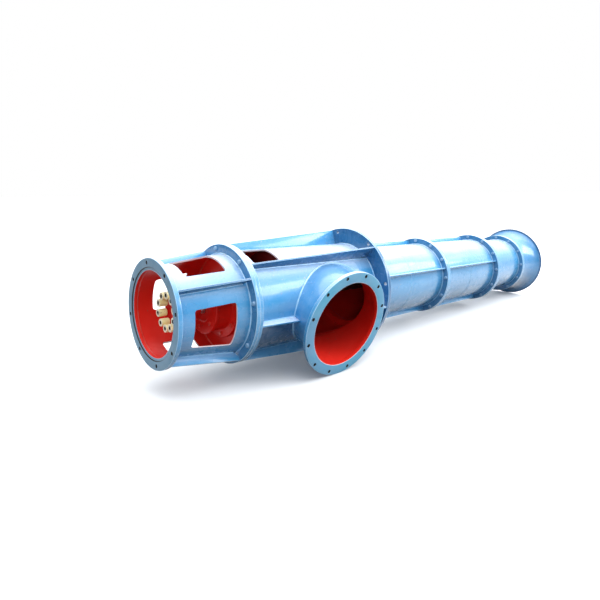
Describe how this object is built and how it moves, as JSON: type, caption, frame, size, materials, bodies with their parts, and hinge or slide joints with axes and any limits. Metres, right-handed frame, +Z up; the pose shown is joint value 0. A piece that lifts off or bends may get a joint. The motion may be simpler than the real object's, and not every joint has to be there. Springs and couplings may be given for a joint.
{
  "type": "vertical axial flow pump",
  "caption": "Long-column axial flow pump lying on its side: motor stand with windows, side discharge branch, flanged ribbed column, bowl with impeller, suction bell.",
  "frame": {"origin": "on the floor under the middle of the pump as it lies", "axes": "+X along the pump towards the suction bell, +Z up; the outlet points along -Y and a little down"},
  "size_m": [4.5324, 1.0878, 0.9199],
  "materials": {
    "blue_paint": "gloss sky-blue enamel over welded steel",
    "flange_paint": "thin blue enamel on a machined flange face",
    "red_paint": "gloss red primer enamel",
    "coupling_paint": "red enamel, with cream bushes",
    "impeller_metal": "cast and ground metal",
    "steel": "turned steel"
  },
  "bodies": {
    "casing": {"base_flange": "blue_paint", "bearing_housing": "red_paint", "bell_flange": "blue_paint", "bowl_bottom_flange": "blue_paint", "bowl_shell": "blue_paint", "bowl_top_flange": "blue_paint", "closing_plate": "red_paint", "column_1_bottom_flange": "blue_paint", "column_1_rib_1": "blue_paint", "column_1_rib_2": "blue_paint", "column_1_rib_3": "blue_paint", "column_1_rib_4": "blue_paint", "column_1_top_flange": "blue_paint", "column_1_tube": "blue_paint", "column_2_bottom_flange": "blue_paint", "column_2_rib_1": "blue_paint", "column_2_rib_2": "blue_paint", "column_2_rib_3": "blue_paint", "column_2_rib_4": "blue_paint", "column_2_top_flange": "blue_paint", "column_2_tube": "blue_paint", "discharge_branch": "blue_paint", "discharge_flange": "flange_paint", "discharge_rib_1": "blue_paint", "discharge_rib_2": "blue_paint", "discharge_rib_3": "blue_paint", "discharge_rib_4": "blue_paint", "discharge_rib_5": "blue_paint", "discharge_shell": "blue_paint", "discharge_neck": "blue_paint", "discharge_top_flange": "blue_paint", "guide_vanes": "red_paint", "motor_flange": "flange_paint", "outlet_rib_lower": "blue_paint", "outlet_rib_upper": "blue_paint", "stand_foot_plate": "blue_paint", "stand_rib_1": "blue_paint", "stand_rib_2": "blue_paint", "stand_rib_3": "blue_paint", "stand_rib_4": "blue_paint", "stand_shell": "blue_paint", "stuffing_box": "red_paint", "suction_bell": "blue_paint"},
    "rotor": {"shaft": "steel", "coupling_half": "coupling_paint", "impeller": "impeller_metal"}
  },
  "joints": [
    {"name": "shaft_spin", "type": "hinge", "parent": "casing", "child": "rotor", "pos_m": [-0.60744, 0.08424, 0.45952], "axis": [0.9996, 0, -0.0286], "continuous": true}
  ]
}
